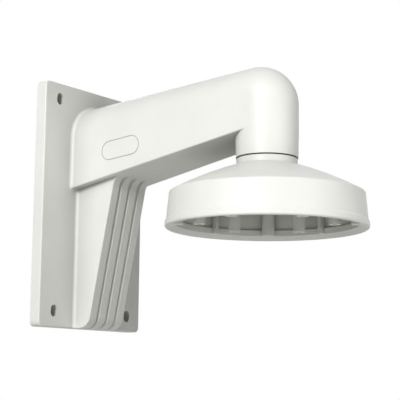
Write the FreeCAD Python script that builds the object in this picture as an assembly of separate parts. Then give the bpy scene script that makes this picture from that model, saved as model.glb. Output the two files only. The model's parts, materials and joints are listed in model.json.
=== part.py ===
import FreeCAD, Part
import math
import os

# Camera wall bracket, in millimetres.
# The origin is the middle of the wall plate's back face, +X points out of the wall along the
# arm, +Y runs across the plate and +Z is up.

# Wall plate, a shallow tray that is open towards the wall
plate_width = 111.0
plate_height = 183.8
plate_thickness = 9.2
plate_corner_radius = 3.8
plate_edge_radius = 0.9
plate_front_wall = 4.4
plate_rim_wall = 3.2
plate_rib_thickness = 2.4
plate_rib_setback = 1.0
plate_rib_height = 52.0

# Wall screw slots
slot_inset_across = 15.1
slot_inset_up = 12.0
slot_width = 6.4
slot_length = 8.8

# Arm: flat underside, upright sides, half-round top
arm_root_half_width = 26.4
arm_overrun = 8.0
arm_wall = 3.0
arm_edge_radius = 1.1
arm_inner_edge_radius = 2.5
arm_underside_height = 11.6
arm_underside_angle = 9.8
arm_crown_centre_height = 51.3
arm_crown_angle = 5.13
root_fillet_radius = 2.4

# Elbow and neck, which narrows towards its end
arm_reach = 171.0
elbow_half_width = 22.1
elbow_bend_radius = 6.2
neck_radius = 21.7
neck_end_height = 22.8
neck_core_radius = 15.6

# Gusset under the arm, with grooves down its leaning front
gusset_half_width = 18.9
gusset_foot_reach = 23.3
gusset_lean_angle = 11.7
gusset_top_fillet = 9.0
gusset_foot_round = 10.0
gusset_front_wall = 4.4
gusset_side_wall = 3.2
gusset_web_thickness = 3.2
groove_count = 3
groove_pitch = 9.9
groove_width = 3.3
groove_floor_width = 1.4
groove_depth = 1.5
groove_overrun = 1.0

# Oval panel line on the arm's side, level with the crown
panel_length = 35.6
panel_height = 14.6
panel_line_width = 0.6
panel_line_depth = 0.35
panel_reach = 56.9
panel_level = 39.4

# Cap's spigot, the bore that takes it and the seal between neck and collar
spigot_radius = 16.5
spigot_clearance = 0.12
spigot_length = 15.0
spigot_chamfer = 1.0
cable_bore_radius = 12.0
seal_thickness = 0.8
seal_setback = 0.6

# Pendant cap, from the collar down to the rim
collar_radius = 21.25
collar_height = 4.35
collar_edge_radius = 0.4
cap_shoulder_radius = 66.3
cap_cone_drop = 19.65
cap_crown_bulge = 1.2
cap_crown_runs = 4
cap_shoulder_round = 1.3
cap_wall_height = 17.5
cap_wall_draft = 1.7
cap_wall_thickness = 4.2
cap_roof_thickness = 3.2
roof_fillet = 3.0
lip_height = 7.0
lip_projection = 0.9
lip_flare = 1.5
lip_round = 1.5
rim_opening_radius = 63.5
rim_band_height = 4.2
rim_rise = 4.45

# Inside the cap: camera screw bosses, locating posts and stiffening ribs
cap_facing_angle = 123.5
camera_screw_circle_radius = 46.5
camera_screw_count = 6
camera_screw_turn = 31.0
camera_boss_radius = 4.2
camera_screw_hole_radius = 1.65
camera_screw_hole_depth = 14.0
post_radius = 4.7
post_circle_radius = 62.2
post_count = 4
rib_angle = 38.4
rib_thickness = 2.6
rib_inner_radius = 59.4

# Lock screw through the neck's wall
lock_screw_angle = 90.0
lock_screw_height = 30.5
lock_screw_radius = 2.0
lock_screw_sinking = 0.5
lock_screw_tip_radius = 1.2
lock_screw_tip_length = 0.8
lock_screw_key_radius = 1.15
lock_screw_key_depth = 1.8
lock_screw_clearance = 0.05

# Sizes that follow from the ones above
underside_slope = math.tan(math.radians(arm_underside_angle))
crown_slope = math.tan(math.radians(arm_crown_angle))
crown_tilt = math.radians(arm_crown_angle)
gusset_lean = math.radians(gusset_lean_angle)
gusset_foot_height = -plate_height / 2
slot_spacing_across = plate_width - 2 * slot_inset_across
slot_spacing_up = plate_height - 2 * slot_inset_up
collar_top = neck_end_height - seal_thickness
collar_foot = collar_top - collar_height
shoulder_height = collar_foot - cap_cone_drop
lip_top = shoulder_height - cap_shoulder_round - cap_wall_height
wall_top_radius = cap_shoulder_radius + cap_shoulder_round
wall_foot_radius = wall_top_radius + cap_wall_draft
lip_radius = wall_foot_radius + lip_projection
rim_bottom = lip_top - lip_height
rim_inner_height = rim_bottom + rim_rise

# Smallest length told apart when edges are picked by place
tiny = 1e-3


def point(x, y, z):
    return FreeCAD.Vector(x, y, z)


def upright(u, v):
    return point(u, 0, v)


def in_wall_plane(u, v):
    return point(0, u, v)


def up_the_wall(u, v):
    return point(0, v, u)


def outline(start, *steps):
    # A closed wire. A step is a point, reached by a line, or two points, reached by an arc
    # that passes through the first.
    edges = []
    here = start
    for step in steps + (start,):
        if isinstance(step, tuple):
            through, end = step
            edges.append(Part.Arc(here, through, end).toShape())
            here = end
        elif (step - here).Length > 1e-6:
            edges.append(Part.makeLine(here, step))
            here = step
    return Part.Wire(edges)


def rounded_steps(corners, place):
    # Steps through corners (u, v, radius), each one rounded by an arc of its radius.
    steps = []
    for i, (u, v, radius) in enumerate(corners):
        corner = place(u, v)
        if radius == 0:
            steps.append(corner)
            continue
        back = (place(*corners[i - 1][:2]) - corner).normalize()
        ahead = (place(*corners[(i + 1) % len(corners)][:2]) - corner).normalize()
        half = back.getAngle(ahead) / 2
        reach = radius / math.tan(half)
        middle = (back + ahead).normalize() * (radius / math.sin(half) - radius)
        steps.append(corner + back * reach)
        steps.append((corner + middle, corner + ahead * reach))
    return steps


def rounded_outline(corners, place):
    steps = rounded_steps(corners, place)
    return outline(steps[0], *steps[1:])


def rounded_rectangle(width, height, radius):
    corners = [(-width / 2, -height / 2, radius), (width / 2, -height / 2, radius),
               (width / 2, height / 2, radius), (-width / 2, height / 2, radius)]
    return rounded_outline(corners, in_wall_plane)


def block(wire, near, far):
    # A wire in the wall's plane, drawn out along the X axis.
    face = Part.Face(wire)
    face.translate(point(near, 0, 0))
    return face.extrude(point(far - near, 0, 0))


def slab(wire, half_width):
    # A wire in the upright middle plane, drawn out to both sides.
    face = Part.Face(wire)
    face.translate(point(0, -half_width, 0))
    return face.extrude(point(0, 2 * half_width, 0))


def turned(wire):
    # A wire drawn as radius and height, turned about the neck's axis.
    solid = Part.Face(wire).revolve(point(0, 0, 0), point(0, 0, 1), 360)
    solid.translate(point(arm_reach, 0, 0))
    return solid


def on_neck_axis(radius, bottom, top):
    return Part.makeCylinder(radius, top - bottom, point(arm_reach, 0, bottom))


def underside_height(x):
    return arm_underside_height + underside_slope * x


def crown_centre_height(x):
    return arm_crown_centre_height + crown_slope * x


def elbow_start():
    # The centre of the arm's last section, where the bend begins.
    x = arm_reach - elbow_bend_radius * (1 + math.sin(crown_tilt))
    return point(x, 0, crown_centre_height(x))


def elbow_axis():
    # The point on the middle plane that the bend turns about.
    drop = elbow_bend_radius * math.cos(crown_tilt)
    return point(arm_reach - elbow_bend_radius, 0, elbow_start().z - drop)


def neck_half_width(height):
    # The neck narrows from the arm's underside down to its end.
    share = (height - neck_end_height) / (underside_height(arm_reach) - neck_end_height)
    return neck_radius + share * (elbow_half_width - neck_radius)


def channel_steps(centre, tilt, half_width, floor_rise, edge_radius):
    # The lower part of an arm section: a flat floor, two rounded edges and upright sides.
    up = point(-math.sin(tilt), 0, math.cos(tilt))
    gap = centre.z - underside_height(centre.x) - floor_rise
    drop = gap / (math.cos(tilt) + underside_slope * math.sin(tilt))
    flat = half_width - edge_radius
    near = half_width - edge_radius * (1 - math.sqrt(0.5))
    low = edge_radius * (1 - math.sqrt(0.5)) - drop

    def at(across, above):
        return centre + point(0, across, 0) + up * above

    return [
        at(-flat, -drop),
        at(flat, -drop),
        (at(near, low), at(half_width, edge_radius - drop)),
        at(half_width, 0),
        at(-half_width, 0),
        at(-half_width, edge_radius - drop),
        (at(-near, low), at(-flat, -drop)),
    ]


def channel(ends, inset, edge_radius):
    # The arm's floor and sides between two sections, each a centre, a tilt and a half width.
    sections = []
    for centre, tilt, half_width in ends:
        steps = channel_steps(centre, tilt, half_width - inset, inset, edge_radius)
        sections.append(outline(steps[0], *steps[1:]))
    return Part.makeLoft(sections, True, True)


def arm_run(inset, edge_radius):
    # The tapered run to the elbow: a cone for the crown over the channel. It starts behind
    # the wall, and what lies behind the wall is cut off later.
    start = point(-arm_overrun, 0, crown_centre_height(-arm_overrun))
    end = elbow_start()
    taper = (arm_root_half_width - elbow_half_width) / end.x
    start_width = arm_root_half_width + taper * arm_overrun
    run = end - start
    crown = Part.makeCone(start_width - inset, elbow_half_width - inset, run.Length, start, run)
    ends = [(start, crown_tilt, start_width), (end, crown_tilt, elbow_half_width)]
    return crown.fuse(channel(ends, inset, edge_radius))


def elbow_bend(inset):
    # The outside of the bend: a half-round section turned from the arm down to the neck.
    radius = elbow_half_width - inset
    side = point(0, radius, 0)
    axis = elbow_axis()
    up = point(-math.sin(crown_tilt), 0, math.cos(crown_tilt))
    centre = axis + up * elbow_bend_radius
    crown = centre + up * radius
    wire = outline(axis - side, axis + side, centre + side, (crown, centre - side))
    return Part.Face(wire).revolve(axis, point(0, 1, 0), 90 + arm_crown_angle)


def elbow_throat(inset, edge_radius):
    # Below the bend the arm's floor and sides run on to the neck's axis.
    end = point(arm_reach, 0, elbow_axis().z)
    ends = [(elbow_start(), crown_tilt, elbow_half_width), (end, 0, elbow_half_width)]
    return channel(ends, inset, edge_radius)


def arm_outside():
    foot = underside_height(arm_reach)
    neck = on_neck_axis(elbow_half_width, foot, elbow_axis().z)
    neck_end = Part.makeCone(neck_radius, elbow_half_width, foot - neck_end_height,
                             point(arm_reach, 0, neck_end_height))
    throat = elbow_throat(0, arm_edge_radius)
    return arm_run(0, arm_edge_radius).fuse([elbow_bend(0), throat, neck, neck_end])


def arm_hollow():
    # The cable duct: open at the back, round the elbow and out of the neck's threaded bore.
    axis_height = elbow_axis().z
    chamber_floor = underside_height(arm_reach) + arm_wall
    chamber = on_neck_axis(elbow_half_width - arm_wall, chamber_floor, axis_height)
    core = on_neck_axis(neck_core_radius, neck_end_height, axis_height)
    bore_top = collar_top + spigot_length + seal_thickness
    bore = on_neck_axis(spigot_radius + spigot_clearance, neck_end_height, bore_top)
    throat = elbow_throat(arm_wall, arm_inner_edge_radius)
    duct = arm_run(arm_wall, arm_inner_edge_radius)
    return duct.fuse([elbow_bend(arm_wall), throat, chamber, core, bore])


def gusset_front(height, inset):
    # How far the leaning front stands from the wall at a height.
    rise = height - gusset_foot_height
    shift = inset / math.cos(gusset_lean)
    return gusset_foot_reach + math.tan(gusset_lean) * rise - shift


def gusset_shelf(inset):
    # Where the leaning front meets the arm's underside.
    reach = gusset_front(arm_underside_height, inset)
    return reach / (1 - math.tan(gusset_lean) * underside_slope)


def gusset_side_view(inset, top_fillet):
    floor = gusset_foot_height + inset
    shelf = gusset_shelf(inset)
    lip = shelf + gusset_top_fillet * 1.5
    roof = arm_wall / 2
    corners = [
        (gusset_front(floor, inset), floor, gusset_foot_round - inset),
        (shelf, underside_height(shelf), top_fillet),
    ]
    if top_fillet > 0:
        corners.append((lip, underside_height(lip), 0))
        corners.append((lip, underside_height(lip) + roof, 0))
        corners.append((0, underside_height(0) + roof, 0))
    else:
        corners.append((0, underside_height(0), 0))
    corners.append((0, floor, 0))
    return corners


def groove_cutter():
    # One groove's section, swept round the foot, up the front and under the arm.
    base = point(plate_thickness, 0, gusset_foot_height)
    steps = rounded_steps(gusset_side_view(0, gusset_top_fillet), upright)
    path = []
    here = base
    for step in steps[:5]:
        if isinstance(step, tuple):
            path.append(Part.Arc(here, step[0], step[1]).toShape())
            here = step[1]
        else:
            path.append(Part.makeLine(here, step))
            here = step
    splay = (groove_width - groove_floor_width) / 2 / groove_depth
    floor = groove_floor_width / 2
    mouth = groove_width / 2 + splay * groove_overrun
    corners = [(-mouth, -groove_overrun), (mouth, -groove_overrun),
               (floor, groove_depth), (-floor, groove_depth)]
    profile = Part.makePolygon([base + in_wall_plane(u, v) for u, v in corners + corners[:1]])
    return Part.Wire(path).makePipeShell([profile], True, False)


def gusset_outside():
    return slab(rounded_outline(gusset_side_view(0, gusset_top_fillet), upright),
                gusset_half_width)


def grooves():
    cutter = groove_cutter()
    first = -groove_pitch * (groove_count - 1) / 2
    cutters = []
    for i in range(groove_count):
        groove = cutter.copy()
        groove.translate(point(0, first + i * groove_pitch, 0))
        cutters.append(groove)
    return cutters


def gusset_pocket():
    # The gusset is hollow and open at the wall, with one web across it at the origin's height.
    wire = rounded_outline(gusset_side_view(gusset_front_wall, 0), upright)
    half_width = gusset_half_width - gusset_side_wall
    web = block(rounded_rectangle(2 * gusset_half_width, gusset_web_thickness, 0), 0, plate_height)
    return slab(wire, half_width).cut(web)


def plain_plate():
    return block(rounded_rectangle(plate_width, plate_height, plate_corner_radius), 0,
                 plate_thickness)


def front_edges(shape):
    # The edges that lie in the plane of the plate's front.
    edges = []
    for edge in shape.Edges:
        box = edge.BoundBox
        if box.XLength < tiny and abs(box.XMin - plate_thickness) < tiny:
            edges.append(edge)
    return edges


def is_border(edge):
    middle = edge.BoundBox.Center
    beside = abs(middle.y) > plate_width / 2 - plate_corner_radius
    above = abs(middle.z) > plate_height / 2 - plate_corner_radius
    return beside or above


def arm_on_plate(arm):
    # The arm on the plate, with the corner filled all round the arm's root.
    plate = plain_plate()
    plate = plate.makeFillet(plate_edge_radius, front_edges(plate))
    joined = plate.fuse(arm)
    reach = arm_root_half_width + tiny
    root = [edge for edge in front_edges(joined)
            if not is_border(edge) and max(abs(edge.BoundBox.YMin), edge.BoundBox.YMax) < reach]
    return joined.makeFillet(root_fillet_radius, root)


def gusset_on_plate(gusset):
    # The gusset on the plate, with the corner filled down both sides. One rounding then runs
    # along the plate's border and over the gusset's own edges.
    joined = plain_plate().fuse(gusset)
    root = [edge for edge in front_edges(joined) if not is_border(edge)
            and edge.BoundBox.YLength < tiny]
    joined = joined.makeFillet(root_fillet_radius, root)
    rounded = [edge for edge in front_edges(joined) if is_border(edge)]
    for edge in joined.Edges:
        box = edge.BoundBox
        on_side = box.YLength < tiny and abs(box.YMin) > gusset_half_width - tiny
        in_front = box.XMin > plate_thickness + tiny and box.XLength > tiny
        if on_side and in_front and box.ZMin < underside_height(box.XMin) - tiny:
            rounded.append(edge)
    return joined.makeFillet(plate_edge_radius, rounded).cut(grooves())


def plate_tray(solid_parts):
    # The space behind the plate's front wall, less the walls and ribs that cross it.
    depth = plate_thickness - plate_front_wall
    width = plate_width - 2 * plate_rim_wall
    height = plate_height - 2 * plate_rim_wall
    tray = block(rounded_rectangle(width, height, plate_corner_radius), 0, depth)
    rib_depth = depth - plate_rib_setback
    ribs = []
    for level in (-plate_rib_height, plate_rib_height):
        corner = point(plate_rib_setback, -width / 2, level - plate_rib_thickness / 2)
        ribs.append(Part.makeBox(rib_depth, width, plate_rib_thickness, corner))
    corner = point(plate_rib_setback, -plate_rib_thickness / 2, arm_crown_centre_height)
    ribs.append(Part.makeBox(rib_depth, plate_rib_thickness, height / 2, corner))
    return tray.cut(solid_parts + ribs)


def oval(length, width, place):
    # A long hole's outline about the middle of a plane, its length along the first direction.
    half = (length - width) / 2
    radius = width / 2
    return outline(place(-half, -radius), place(half, -radius),
                   (place(half + radius, 0), place(half, radius)),
                   place(-half, radius),
                   (place(-half - radius, 0), place(-half, -radius)))


def wall_slots():
    slots = []
    for across in (-slot_spacing_across / 2, slot_spacing_across / 2):
        for up in (-slot_spacing_up / 2, slot_spacing_up / 2):
            slot = block(oval(slot_length, slot_width, up_the_wall), 0, plate_thickness)
            slot.translate(point(0, across, up))
            slots.append(slot)
    return slots


def panel_line():
    # A fine oval line that rises with the crown, sunk in the arm's side, which leans in
    # towards the elbow.
    border = 2 * panel_line_width
    ring = Part.Face(oval(panel_length, panel_height, upright)).cut(
        Part.Face(oval(panel_length - border, panel_height - border, upright)))
    line = ring.extrude(point(0, -2 * panel_line_depth, 0))
    line.rotate(point(0, 0, 0), point(0, -1, 0), arm_crown_angle)
    line.translate(point(0, panel_line_depth, 0))
    taper = (arm_root_half_width - elbow_half_width) / elbow_start().x
    line.rotate(point(0, 0, 0), point(0, 0, 1), math.degrees(math.atan(taper)))
    side = arm_root_half_width - taper * panel_reach
    line.translate(point(panel_reach, -side, panel_level))
    return line


def behind_wall():
    corner = point(-plate_height, -plate_width, -plate_height)
    return Part.makeBox(plate_height, 2 * plate_width, 2 * plate_height, corner)


def across_neck(radius, inner, outer):
    # A cylinder that points out from the neck's axis at the lock screw's height and angle.
    turn = math.radians(lock_screw_angle)
    out = point(math.cos(turn), math.sin(turn), 0)
    base = point(arm_reach, 0, lock_screw_height) + out * inner
    return Part.makeCylinder(radius, outer - inner, base, out)


def bracket_casting():
    arm = arm_outside()
    gusset = gusset_outside()
    casting = arm_on_plate(arm).fuse(gusset_on_plate(gusset))
    screw_hole = across_neck(lock_screw_radius + lock_screw_clearance, 0,
                             elbow_half_width + lock_screw_radius)
    cutters = [plate_tray([arm, gusset]), arm_hollow(), gusset_pocket(), panel_line(),
               screw_hole, behind_wall()]
    return casting.cut(cutters + wall_slots()).removeSplitter()


def swelling(start, end):
    # Corners between two points that stand off the straight line by the crown's bulge.
    chord = end - start
    outward = point(chord.z, 0, -chord.x).normalize()
    corners = []
    for i in range(1, cap_crown_runs):
        share = i / cap_crown_runs
        place = start + chord * share + outward * (4 * cap_crown_bulge * share * (1 - share))
        corners.append((place.x, place.z, 0))
    return corners


def cap_outside():
    spigot_top = collar_top + spigot_length
    collar = upright(collar_radius, collar_foot)
    shoulder = upright(wall_top_radius, shoulder_height)
    corners = [
        (0, spigot_top, 0),
        (spigot_radius - spigot_chamfer, spigot_top, 0),
        (spigot_radius, spigot_top - spigot_chamfer, 0),
        (spigot_radius, collar_top, 0),
        (collar_radius, collar_top, collar_edge_radius),
        (collar.x, collar.z, 0),
        *swelling(shoulder, collar)[::-1],
        (shoulder.x, shoulder.z, cap_shoulder_round),
        (wall_foot_radius, lip_top, 0),
        (lip_radius, lip_top - lip_flare, 0),
        (lip_radius, rim_bottom, lip_round),
        (rim_opening_radius, rim_inner_height, 0),
        (0, rim_inner_height, 0),
    ]
    return turned(rounded_outline(corners, upright))


def cap_hollow():
    band_top = rim_inner_height + rim_band_height
    roof = upright(collar_radius, collar_foot - cap_roof_thickness)
    corner = upright(wall_top_radius - cap_wall_thickness, shoulder_height - cap_roof_thickness)
    corners = [
        (0, roof.z, 0),
        (roof.x, roof.z, 0),
        *swelling(corner, roof)[::-1],
        (corner.x, corner.z, roof_fillet),
        (wall_foot_radius - cap_wall_thickness, band_top, 0),
        (rim_opening_radius, band_top, 0),
        (rim_opening_radius, rim_bottom, 0),
        (0, rim_bottom, 0),
    ]
    return turned(rounded_outline(corners, upright))


def round_cap(shape, radius, angle):
    # Moves a shape from the neck's axis out to a radius at an angle from the cap's own front.
    shape.translate(point(radius, 0, 0))
    shape.rotate(point(arm_reach, 0, 0), point(0, 0, 1), cap_facing_angle + angle)
    return shape


def camera_screw_angles():
    return [camera_screw_turn + i * 360 / camera_screw_count for i in range(camera_screw_count)]


def cap_inner_parts():
    parts = []
    for angle in camera_screw_angles():
        boss = on_neck_axis(camera_boss_radius, rim_inner_height, collar_foot)
        parts.append(round_cap(boss, camera_screw_circle_radius, angle))
    for i in range(post_count):
        post = on_neck_axis(post_radius, rim_inner_height, collar_foot)
        parts.append(round_cap(post, post_circle_radius, i * 360 / post_count))
    rib_depth = wall_top_radius - cap_shoulder_round - rib_inner_radius
    for angle in (rib_angle, -rib_angle, 180 + rib_angle, 180 - rib_angle):
        corner = point(arm_reach, -rib_thickness / 2, rim_inner_height)
        rib = Part.makeBox(rib_depth, rib_thickness, collar_foot - rim_inner_height, corner)
        parts.append(round_cap(rib, rib_inner_radius, angle))
    return parts


def pendant_cap():
    outside = cap_outside()
    inner = [part.common(outside) for part in cap_inner_parts()]
    cap = outside.cut(cap_hollow()).fuse(inner)
    holes = [on_neck_axis(cable_bore_radius, rim_bottom, collar_top + spigot_length)]
    hole_end = rim_inner_height + camera_screw_hole_depth
    for angle in camera_screw_angles():
        hole = on_neck_axis(camera_screw_hole_radius, rim_inner_height, hole_end)
        holes.append(round_cap(hole, camera_screw_circle_radius, angle))
    return cap.cut(holes).removeSplitter()


def neck_seal():
    ring = on_neck_axis(collar_radius - seal_setback, collar_top, neck_end_height)
    return ring.cut(on_neck_axis(spigot_radius + spigot_clearance, collar_top, neck_end_height))


def lock_screw():
    # A grub screw with a narrow tip that bears on the spigot and a six-sided key hole.
    tip_end = spigot_radius
    shank = tip_end + lock_screw_tip_length
    head = neck_half_width(lock_screw_height) - lock_screw_sinking
    tip = across_neck(lock_screw_tip_radius, tip_end, shank)
    body = across_neck(lock_screw_radius, shank, head)
    key = Part.Face(Part.makePolygon([
        point(lock_screw_key_radius * math.cos(math.radians(60 * i)), 0,
              lock_screw_key_radius * math.sin(math.radians(60 * i))) for i in range(7)]))
    key = key.extrude(point(0, -lock_screw_key_depth, 0))
    key.translate(point(0, head, lock_screw_height))
    key.rotate(point(0, 0, 0), point(0, 0, 1), lock_screw_angle - 90)
    key.translate(point(arm_reach, 0, 0))
    return body.fuse(tip).cut(key)


os.makedirs("parts", exist_ok=True)
for name, make in (("bracket_casting", bracket_casting), ("pendant_cap", pendant_cap),
                   ("neck_seal", neck_seal), ("lock_screw", lock_screw)):
    shape = make()
    shape.exportStep("parts/" + name + ".step")
    print(name, "valid", shape.isValid(), "solids", len(shape.Solids),
          "volume", round(shape.Volume, 1))
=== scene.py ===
# %% [markdown]
# # A camera wall bracket, dressed for the studio
#
# The object is a die-cast aluminium bracket with a white powder coat. A plate goes flat on a wall,
# a hollow arm tapers away from it to a neck, and a round cap on the neck takes a camera from below.
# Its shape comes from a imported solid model, so this lesson gives that model its finishes, its
# studio and its view. Everything is in metres: +X points out of the wall along the arm, +Y across
# the plate, and +Z up.

# %% Load the solid model
import json
import math
import bpy
from mathutils import Matrix, Vector


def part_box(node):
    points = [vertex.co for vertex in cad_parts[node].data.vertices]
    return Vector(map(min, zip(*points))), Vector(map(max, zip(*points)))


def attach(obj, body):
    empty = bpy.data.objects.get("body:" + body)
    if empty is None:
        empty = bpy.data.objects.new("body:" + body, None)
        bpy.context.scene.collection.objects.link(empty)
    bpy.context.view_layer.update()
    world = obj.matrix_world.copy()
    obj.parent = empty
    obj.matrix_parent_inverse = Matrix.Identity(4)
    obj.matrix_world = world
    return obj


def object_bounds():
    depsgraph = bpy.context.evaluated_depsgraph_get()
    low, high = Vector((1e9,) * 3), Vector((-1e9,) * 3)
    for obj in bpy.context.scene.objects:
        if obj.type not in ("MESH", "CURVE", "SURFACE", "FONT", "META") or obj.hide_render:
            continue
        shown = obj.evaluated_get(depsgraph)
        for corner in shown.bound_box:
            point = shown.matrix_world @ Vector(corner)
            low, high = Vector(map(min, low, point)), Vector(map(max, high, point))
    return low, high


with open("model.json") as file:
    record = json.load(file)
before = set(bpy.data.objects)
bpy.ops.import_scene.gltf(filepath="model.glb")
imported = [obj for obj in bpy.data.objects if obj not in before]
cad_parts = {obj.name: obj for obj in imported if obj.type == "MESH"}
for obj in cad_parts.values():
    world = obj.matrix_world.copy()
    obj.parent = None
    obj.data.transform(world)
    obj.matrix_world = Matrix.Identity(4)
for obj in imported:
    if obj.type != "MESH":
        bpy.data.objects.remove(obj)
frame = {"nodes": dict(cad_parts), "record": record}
nodes = frame["nodes"]
solid_low, solid_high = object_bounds()
bpy.ops.object.select_all(action="DESELECT")
for name, node in nodes.items():
    print(name, "has", len(node.data.polygons), "faces")


# %% [markdown]
# ## The camera
#
# The view could be framed by eye, but the picture of the bracket has enough straight edges and
# known circles to work the camera out. A long lens from about 0.9 m keeps the verticals nearly
# upright, and the camera stands a little below the cap and looks up into it. The three angles
# below turn into the camera's own axes, which is safer than stacking rotations by hand.

# %% Place the camera
camera_place = Vector((0.625876, -0.662186, -0.133588))
camera_heading = math.radians(127.776)
camera_lift = math.radians(8.977)
camera_roll = math.radians(0.663)
sensor_width_mm = 36.0
lens_mm = 106.107

look = Vector((
    math.cos(camera_lift) * math.cos(camera_heading),
    math.cos(camera_lift) * math.sin(camera_heading),
    math.sin(camera_lift),
))
level_right = look.cross(Vector((0, 0, 1))).normalized()
level_up = level_right.cross(look)
camera_right = level_right * math.cos(camera_roll) + level_up * math.sin(camera_roll)
camera_up = level_up * math.cos(camera_roll) - level_right * math.sin(camera_roll)

bpy.ops.object.camera_add()
camera = bpy.context.object
camera.name = "studio_camera"
camera.matrix_world = (
    Matrix.Translation(camera_place)
    @ Matrix((camera_right, camera_up, -look)).transposed().to_4x4()
)
camera.data.sensor_width = sensor_width_mm
camera.data.lens = lens_mm
camera.data.clip_start = 0.02
camera.data.clip_end = 30.0
bpy.context.scene.camera = camera
print("the camera stands", round(camera_place.length, 3), "m from the middle of the plate")


# %% [markdown]
# ## Helpers for colours and materials
#
# Colours are easiest to compare with a picture when they are written as the hex values that a
# paint program shows. The renderer works with linear light, so one function turns a hex value into
# linear red, green and blue. Building a material is mostly adding nodes, so one small function
# adds a node of any kind with its settings, and fills or links its sockets.

# %% Colour and node helpers
def linear(hex_colour):
    """Turns a hex colour as seen on a screen into linear light, with full opacity."""
    parts = [int(hex_colour[i:i + 2], 16) / 255 for i in (1, 3, 5)]
    light = [p / 12.92 if p <= 0.04045 else ((p + 0.055) / 1.055) ** 2.4 for p in parts]
    return (*light, 1.0)


def new_material(name):
    """Makes a material with no nodes yet, and gives it with the tree that they go into."""
    material = bpy.data.materials.new(name)
    material.use_nodes = True
    material.node_tree.nodes.clear()
    return material, material.node_tree


def add_node(tree, kind, settings=None, **sockets):
    """Adds one node. A socket goes by its label with _ for a space, or by in0, in1 and so on."""
    node = tree.nodes.new("ShaderNode" + kind)
    for name, value in (settings or {}).items():
        setattr(node, name, value)
    for name, value in sockets.items():
        numbered = name.startswith("in") and name[2:].isdigit()
        socket = node.inputs[int(name[2:])] if numbered else node.inputs[name.replace("_", " ")]
        if isinstance(value, bpy.types.NodeSocket):
            tree.links.new(value, socket)
        else:
            socket.default_value = value
    return node


print("a mid grey of #808080 is", round(linear("#808080")[0], 3), "in linear light")


# %% [markdown]
# ## The floor
#
# A pale round floor well below the bracket catches its shadow and throws some light back up under
# the arm. A plane would do as well, but a disc has no corners to show in a view from above.

# %% Pale floor
floor_height = -0.26
floor_radius = 1.6
floor_middle = 0.1
bpy.ops.mesh.primitive_circle_add(
    vertices=96, radius=floor_radius, fill_type="NGON", location=(floor_middle, 0, floor_height)
)
floor = bpy.context.object
floor.name = "studio_floor"
bpy.ops.object.transform_apply(location=True, rotation=True, scale=True)

floor_paint, tree = new_material("pale_studio_paint")
paint = add_node(tree, "BsdfDiffuse", Color=linear("#F2F2F0"), Roughness=0.5)
add_node(tree, "OutputMaterial", Surface=paint.outputs[0])
floor.data.materials.append(floor_paint)
print("the floor lies", round(solid_low.z - floor_height, 3), "m below the bracket")


# %% [markdown]
# ## The white surroundings
#
# Product pictures of this kind are taken in a white tent: the background is plain white, and the
# bracket gets soft light from all round. The world is shown as pure white to the camera, to
# reflections and through glass, while the light that it sheds on the bracket is far lower, so that
# the white coat keeps its shades. Light Path tells the two apart.

# %% World
shown_strength = 1.0
shed_strength = 0.02
world = bpy.data.worlds.new("white_tent")
bpy.context.scene.world = world
world.use_nodes = True
tree = world.node_tree
tree.nodes.clear()
rays = add_node(tree, "LightPath")
seen = add_node(
    tree, "Math", {"operation": "MAXIMUM"},
    in0=rays.outputs["Is Camera Ray"], in1=rays.outputs["Is Glossy Ray"],
)
seen = add_node(
    tree, "Math", {"operation": "MAXIMUM"},
    in0=seen.outputs[0], in1=rays.outputs["Is Transmission Ray"],
)
fill_light = add_node(tree, "Background", Color=linear("#FFFFFF"), Strength=shed_strength)
white_view = add_node(tree, "Background", Color=linear("#FFFFFF"), Strength=shown_strength)
mixed = add_node(
    tree, "MixShader", Fac=seen.outputs[0], in1=fill_light.outputs[0], in2=white_view.outputs[0]
)
add_node(tree, "OutputWorld", Surface=mixed.outputs[0])
print("the world sheds", shed_strength, "of the white that it shows")


# %% [markdown]
# ## The lamps
#
# The side of the arm and the middle of the neck are the brightest surfaces, the plate's front is
# a clear step darker, and the underside of the arm is darker still. One large lamp could light it
# all, but the plate's front would then be as bright as the arm. So the key lamp stands nearly
# square to the arm's side, a weak one above it lifts the crown of the arm, and a small near lamp
# in front of the cap lights the cap and the neck more than the plate behind them. A last one from
# behind keeps the back from going black. Each lamp is aimed at the middle of the bracket and its
# power follows from its distance, so that the level given is the brightness of a white card held
# square to it. The lamps light the bracket without showing in the picture themselves.

# %% Lamps
bracket_middle = (solid_low + solid_high) / 2


def add_softbox(name, azimuth, elevation, distance, size, level):
    """A square area lamp. Azimuth runs from +X towards -Y, elevation up from the horizon."""
    turn = math.radians(azimuth)
    lift = math.radians(elevation)
    level_reach = math.cos(lift)
    towards = Vector((level_reach * math.cos(turn), -level_reach * math.sin(turn), math.sin(lift)))
    bpy.ops.object.light_add(type="AREA", location=bracket_middle + towards * distance)
    lamp = bpy.context.object
    lamp.name = name
    lamp.rotation_euler = towards.to_track_quat("Z", "Y").to_euler()
    lamp.data.shape = "SQUARE"
    lamp.data.size = size
    lamp.data.energy = level * (math.pi * distance) ** 2
    lamp.visible_camera = False
    print(name, "gives", round(lamp.data.energy, 2), "W")


add_softbox("key_softbox", azimuth=79.5, elevation=22, distance=1.6, size=0.55, level=0.81)
add_softbox("high_softbox", azimuth=70, elevation=45, distance=1.6, size=0.80, level=0.11)
add_softbox("side_softbox", azimuth=4, elevation=8, distance=0.46, size=0.36, level=0.33)
add_softbox("back_softbox", azimuth=-150, elevation=20, distance=1.6, size=0.60, level=0.20)


# %% [markdown]
# ## The white powder coat
#
# The casting and the cap are pressure die-cast aluminium, blasted, then sprayed with a dry white
# powder that melts in an oven to a skin of about 0.08 mm. A flat white would look like plastic,
# so the skin is built up from what happens to a real one. First come its faint clouds: the
# colour is a little lighter where the skin is thick. They could be painted, but a noise of a real
# size, here 45 mm, needs no image and has no seams. Pattern sizes are in real millimetres.

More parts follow.
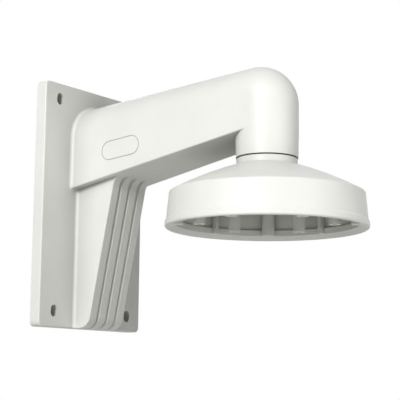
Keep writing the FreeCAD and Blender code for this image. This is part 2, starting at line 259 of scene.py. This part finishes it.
# %% The coat's own colour
def per_mm(size_mm):
    """The scale of a noise whose features are size_mm across, for coordinates in metres."""
    return 1000.0 / size_mm


cloud_mm = 45
coat, tree = new_material("white_powder_coat")
place = add_node(tree, "TexCoord").outputs["Object"]
surface = add_node(tree, "NewGeometry")

clouds = add_node(
    tree, "TexNoise", Vector=place, Scale=per_mm(cloud_mm), Detail=3.0, Roughness=0.55
)
full_coat = add_node(tree, "ValToRGB", Fac=clouds.outputs["Fac"])
full_coat.color_ramp.elements[0].position = 0.30
full_coat.color_ramp.elements[0].color = linear("#E3E4DE")
full_coat.color_ramp.elements[1].position = 0.70
full_coat.color_ramp.elements[1].color = linear("#E9EAE5")
print("the coat's clouds have a scale of", round(per_mm(cloud_mm), 1))


# %% [markdown]
# ## The inside of the cap
#
# The cap is a deep cup, which the sprayer reaches into by hand. Its roof faces down into the
# cup's shade and is painted dark grey there as painted shade. Its walls and screw bosses get back
# part of the painted recess shade. A second material could be given to those faces, but its border
# would be hard and the solid model's faces would have to be sorted. So two shares are worked out
# at each spot instead, from its distance from the cap's axis, its height, and the way that the
# surface faces: in_cup for the whole inside, and one for the roof's painted shade.

# %% Masks for the painted shade inside the cap
cap_low, cap_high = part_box("pendant_cap")
cap_axis_place = ((cap_low.x + cap_high.x) / 2, 0.0, 0.0)
rim_width = 0.0065
rim_opening = (cap_high.y - cap_low.y) / 2 - rim_width
cup_top = 0.016
cup_top_fade = 0.001
roof_shade_starts = -0.022
roof_shade_full = 0.006
turned_from_up = (0.25, 0.15)
turned_down = (-0.25, -0.60)


def ramp(value, start, end):
    """A share that grows from 0 at start to 1 at end."""
    share = add_node(
        tree, "MapRange", Value=value, From_Min=start, From_Max=end, To_Min=0.0, To_Max=1.0
    )
    return share.outputs[0]


def times(first, second):
    """The product of two shares."""
    return add_node(tree, "Math", {"operation": "MULTIPLY"}, in0=first, in1=second).outputs[0]


spot = add_node(tree, "VectorMath", {"operation": "SUBTRACT"}, in0=place, in1=cap_axis_place)
spot = add_node(tree, "SeparateXYZ", in0=spot.outputs[0])
height = spot.outputs["Z"]
sideways = add_node(tree, "CombineXYZ", X=spot.outputs["X"], Y=spot.outputs["Y"])
from_axis = add_node(tree, "VectorMath", {"operation": "LENGTH"}, in0=sideways.outputs[0])
within_rim = add_node(
    tree, "Math", {"operation": "LESS_THAN"}, in0=from_axis.outputs["Value"], in1=rim_opening
)
facing = add_node(tree, "SeparateXYZ", in0=surface.outputs["Normal"]).outputs["Z"]
in_cup = times(within_rim.outputs[0], ramp(height, cup_top + cup_top_fade, cup_top))
in_cup = times(in_cup, ramp(facing, *turned_from_up))
# This share marks the cup's roof, where the colour is painted dark as painted shade.
painted_roof_shade = times(in_cup, ramp(facing, *turned_down))
painted_roof_shade = times(painted_roof_shade, ramp(height, roof_shade_starts, roof_shade_full))
print("the cap opens", round(2000 * rim_opening, 1), "mm wide")


# %% [markdown]
# ## Painted shade in recesses
#
# In grooves, inner corners and hollows the coat is painted a darker grey, which is painted shade.
# The ambient occlusion node measures how much of the surroundings a spot is open to, within
# 32 mm, and the less open a spot is, the greyer its colour. The inside of the cap gets part of
# its white back, so the painted shade there is lighter.

# %% Painted shade in recesses
shade_reach = 0.032
full_shade_at = 0.05
unshaded_at = 0.90
cup_shade_lift = 0.30
# Ambient occlusion here only decides where the colour is painted greyer, as painted shade.
recess = add_node(tree, "AmbientOcclusion", {"samples": 8}, Distance=shade_reach)
unshaded_share = add_node(
    tree, "Math", {"operation": "MULTIPLY_ADD", "use_clamp": True},
    in0=in_cup, in1=cup_shade_lift, in2=ramp(recess.outputs["AO"], full_shade_at, unshaded_at),
)
# Spots with little open surroundings are painted towards #96968F, which is painted shade.
coat_colour = add_node(
    tree, "Mix", {"data_type": "RGBA"}, in0=unshaded_share.outputs[0], in6=linear("#96968F"),
    in7=full_coat.outputs[0],
)
# Downward faces inside the cup are painted #5C5C58, which is painted shade.
coat_colour = add_node(
    tree, "Mix", {"data_type": "RGBA"}, in0=painted_roof_shade, in6=coat_colour.outputs[2],
    in7=linear("#5C5C58"),
)
print("recesses within", round(1000 * shade_reach), "mm are greyer")


# %% [markdown]
# ## Edges that the skin draws back from
#
# As the powder melts it pulls back from sharp edges, and hands and tools rub it there first. A
# bevel node gives a normal that is rounded near an edge. Where it leans away from the plain
# normal there is an edge, so the coat is made a little greyer there, in patches of some 6 mm. It
# is kept faint, because the bracket is new.

# %% Worn edges
edge_width = 0.0007
rub_mm = 6
wear_strength = 0.35
leans_away = (0.99, 0.80)
rub_patches = (0.35, 0.75)
rounded = add_node(tree, "Bevel", {"samples": 4}, Radius=edge_width)
leaning = add_node(
    tree, "VectorMath", {"operation": "DOT_PRODUCT"}, in0=rounded.outputs[0],
    in1=surface.outputs["Normal"],
)
rubbing = add_node(
    tree, "TexNoise", Vector=place, Scale=per_mm(rub_mm), Detail=2.0, Roughness=0.6
)
edge_wear = times(
    ramp(leaning.outputs["Value"], *leans_away), ramp(rubbing.outputs["Fac"], *rub_patches)
)
edge_wear = times(edge_wear, wear_strength)
coat_colour = add_node(
    tree, "Mix", {"data_type": "RGBA"}, in0=edge_wear, in6=coat_colour.outputs[2],
    in7=linear("#C2C3BC"),
)
print("the coat is thin within", round(1000 * edge_width, 1), "mm of an edge")


# %% [markdown]
# ## Orange peel, grain and gloss
#
# A molten powder never levels quite flat. It leaves a swell like orange peel, about 1.8 mm from
# crest to crest, with a finer grain on it. Both are far too low to model, one or two hundredths of
# a millimetre, so they go into the shading normal as bumps. The same swell varies the gloss a
# little. The skin is a clear resin full of white pigment, so it is not a metal, with an index of
# refraction of 1.5 and the broad highlight of a satin finish.

# %% The skin
peel_mm = 1.8
peel_height = 0.00002
grain_mm = 0.45
grain_height = 0.00001
softened_edge = 0.0003
peel = add_node(tree, "TexNoise", Vector=place, Scale=per_mm(peel_mm), Detail=2.0, Roughness=0.5)
grain = add_node(tree, "TexNoise", Vector=place, Scale=per_mm(grain_mm), Detail=1.0, Roughness=0.5)
soft_edge = add_node(tree, "Bevel", {"samples": 6}, Radius=softened_edge)
peel_bump = add_node(
    tree, "Bump", Strength=0.5, Distance=peel_height, Height=peel.outputs["Fac"],
    Normal=soft_edge.outputs[0],
)
grain_bump = add_node(
    tree, "Bump", Strength=0.5, Distance=grain_height, Height=grain.outputs["Fac"],
    Normal=peel_bump.outputs[0],
)
sheen_spread = add_node(
    tree, "MapRange", Value=peel.outputs["Fac"],
    From_Min=0.3, From_Max=0.7, To_Min=0.36, To_Max=0.46,
)
skin = add_node(
    tree, "BsdfPrincipled",
    Base_Color=coat_colour.outputs[2],
    Roughness=sheen_spread.outputs[0],
    IOR=1.5,
    Specular_IOR_Level=0.35,
    Normal=grain_bump.outputs[0],
)
add_node(tree, "OutputMaterial", Surface=skin.outputs[0])
for part in ("bracket_casting", "pendant_cap"):
    for slot in nodes[part].material_slots:
        slot.material = coat
print("the casting and the cap carry", coat.name)


# %% [markdown]
# ## Where the wall slots are
#
# The four wall screws go through upright slots. Their places and sizes could be measured off the
# model, but its record states them for whoever drills the wall, in two pairs one above the other,
# so they are read from there.

# %% Slot places
slot_places = []
for mount in frame["record"]["mounts"]:
    if "slot_length_mm" not in mount["dims"]:
        continue
    plate_front, across, middle = mount["pos_m"]
    slot_radius = mount["dims"]["hole_r_mm"] / 1000
    half_straight = mount["dims"]["slot_length_mm"] / 2000 - slot_radius
    half_spacing = mount["dims"]["spacing_y_mm"] / 2000
    slot_places += [Vector((0, across, middle + side * half_spacing)) for side in (-1, 1)]
print("the plate has", len(slot_places), "slots,", round(2000 * slot_radius, 1), "mm wide")


# %% [markdown]
# ## The outline of a collar
#
# The plate's front wall is thin, with an open tray behind it, so a casting of this kind has a
# collar round each slot that stands back to the wall and takes the screw's pull. It could be cut
# out of a block, but its wall is equally thick all round, so it starts as a circle that is pulled
# apart into the slot's outline. Its front end lies inside the plate's front wall, and it is a
# twentieth of a millimetre wider than the slot, so that no two surfaces lie on each other.

# %% Slot outline
collar_inset = 0.0035
collar_gap = 0.00005
off_the_middle = 1e-6
collar_front = plate_front - collar_inset
bpy.ops.object.select_all(action="DESELECT")
bpy.ops.mesh.primitive_circle_add(
    vertices=48, radius=slot_radius + collar_gap, fill_type="NOTHING",
    location=(collar_front, 0, 0), rotation=(0, math.pi / 2, 0),
)
first_collar = bpy.context.object
bpy.ops.object.transform_apply(location=True, rotation=True, scale=True)
for end in (-1, 1):
    bpy.ops.object.mode_set(mode="EDIT")
    bpy.ops.mesh.select_all(action="DESELECT")
    bpy.ops.object.mode_set(mode="OBJECT")
    for vertex in first_collar.data.vertices:
        vertex.select = vertex.co.z * end > off_the_middle
    bpy.ops.object.mode_set(mode="EDIT")
    bpy.ops.transform.translate(value=(0, 0, end * half_straight))
bpy.ops.object.mode_set(mode="OBJECT")
print("the slot's outline is", round(1000 * first_collar.dimensions.z, 1), "mm long")


# %% [markdown]
# ## The wall of a collar
#
# The outline is extruded towards the wall and stops a fifth of a millimetre short of it, so that
# the plate's rim is what touches the wall. Its faces are turned outwards before it gets its
# thickness, because on a closed shell that would turn the inner wall round. A small bevel softens
# both ends.

# %% Collar wall
wall_clearance = 0.0002
collar_wall = 0.0018
collar_bevel = 0.0003
smooth_below = math.radians(35)
bpy.ops.object.mode_set(mode="EDIT")
bpy.ops.mesh.select_all(action="SELECT")
bpy.ops.mesh.extrude_region_move(
    TRANSFORM_OT_translate={"value": (wall_clearance - collar_front, 0, 0)}
)
bpy.ops.mesh.select_all(action="SELECT")
bpy.ops.mesh.normals_make_consistent(inside=False)
bpy.ops.object.mode_set(mode="OBJECT")
thicken = first_collar.modifiers.new("thicken", "SOLIDIFY")
thicken.thickness = collar_wall
thicken.offset = 1.0
soften = first_collar.modifiers.new("soften", "BEVEL")
soften.width = collar_bevel
soften.segments = 2
soften.limit_method = "ANGLE"
for modifier in ("thicken", "soften"):
    bpy.ops.object.modifier_apply(modifier=modifier)
bpy.ops.object.shade_smooth_by_angle(angle=smooth_below)
first_collar.data.materials.append(coat)
print("one collar has", len(first_collar.data.polygons), "faces")


# %% [markdown]
# ## A collar for each slot
#
# The four are alike, so each is a copy of the first with a mesh of its own, moved to its slot. The
# first one stood in the middle of the plate only to be modelled, and is taken away.

# %% Four collars
for number, slot_place in enumerate(slot_places, 1):
    bpy.ops.object.select_all(action="DESELECT")
    first_collar.select_set(True)
    bpy.context.view_layer.objects.active = first_collar
    bpy.ops.object.duplicate_move(TRANSFORM_OT_translate={"value": slot_place})
    collar = bpy.context.object
    collar.name = f"slot_collar_{number}"
    bpy.ops.object.transform_apply(location=True, rotation=True, scale=True)
    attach(collar, "root")
    print(collar.name, "stands behind the slot at", [round(1000 * v, 1) for v in slot_place])
bpy.data.objects.remove(first_collar)


# %% [markdown]
# ## The rubber seal
#
# A flat ring of black rubber closes the joint between the neck and the cap, and all that shows of
# it is a thin dark line. Moulded rubber is nearly black and dull, with a dusty bloom. A fine noise
# in its colour and its roughness is enough at that size.

# %% Black rubber
bloom_mm = 2.5
pore_depth = 0.00004
rubber, tree = new_material("black_moulded_rubber")
place = add_node(tree, "TexCoord").outputs["Object"]
bloom = add_node(
    tree, "TexNoise", Vector=place, Scale=per_mm(bloom_mm), Detail=4.0, Roughness=0.6
)
tone = add_node(tree, "ValToRGB", Fac=bloom.outputs["Fac"])
tone.color_ramp.elements[0].position = 0.35
tone.color_ramp.elements[0].color = linear("#3E3E3C")
tone.color_ramp.elements[1].position = 0.75
tone.color_ramp.elements[1].color = linear("#545452")
dullness = add_node(
    tree, "MapRange", Value=bloom.outputs["Fac"],
    From_Min=0.3, From_Max=0.7, To_Min=0.65, To_Max=0.85,
)
pores = add_node(tree, "Bump", Strength=0.6, Distance=pore_depth, Height=bloom.outputs["Fac"])
ring = add_node(
    tree, "BsdfPrincipled", Base_Color=tone.outputs[0], Roughness=dullness.outputs[0], IOR=1.52,
    Normal=pores.outputs[0],
)
add_node(tree, "OutputMaterial", Surface=ring.outputs[0])
for slot in nodes["neck_seal"].material_slots:
    slot.material = rubber
print("the neck seal carries", rubber.name)


# %% [markdown]
# ## The stainless lock screw
#
# A headless screw in the neck's side stops the cap from turning off its thread. It is turned from
# stainless steel bar, so it is grey metal with very fine rings round its axis, which runs across
# the bracket. Bands that repeat with the distance from that axis draw the rings. The wave node
# draws about three of them in each unit of its scale.

# %% Turned steel
wave_mm = 0.9
ring_depth = 0.00002
screw_low, screw_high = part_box("lock_screw")
screw_middle = (screw_low + screw_high) / 2
steel, tree = new_material("turned_stainless_steel")
place = add_node(tree, "TexCoord").outputs["Object"]
centred = add_node(
    tree, "Mapping", {"vector_type": "TEXTURE"}, Vector=place, Location=tuple(screw_middle)
)
rings = add_node(
    tree, "TexWave", {"wave_type": "RINGS", "rings_direction": "Y"},
    Vector=centred.outputs[0], Scale=per_mm(wave_mm), Distortion=0.4, Detail=1.0,
)
tone = add_node(tree, "ValToRGB", Fac=rings.outputs["Fac"])
tone.color_ramp.elements[0].color = linear("#8E8F91")
tone.color_ramp.elements[1].color = linear("#B4B5B7")
polish = add_node(
    tree, "MapRange", Value=rings.outputs["Fac"],
    From_Min=0.0, From_Max=1.0, To_Min=0.28, To_Max=0.42,
)
tool_marks = add_node(tree, "Bump", Strength=0.4, Distance=ring_depth, Height=rings.outputs["Fac"])
screw_metal = add_node(
    tree, "BsdfPrincipled", Base_Color=tone.outputs[0], Metallic=1.0, Roughness=polish.outputs[0],
    Normal=tool_marks.outputs[0],
)
add_node(tree, "OutputMaterial", Surface=screw_metal.outputs[0])
for slot in nodes["lock_screw"].material_slots:
    slot.material = steel
print("the lock screw carries", steel.name)


# %% [markdown]
# ## Render settings
#
# The colours are meant to render as they are written, so the plain Standard transform is chosen
# in place of a filmic one.

# %% Finish
bpy.context.scene.view_settings.view_transform = "Standard"
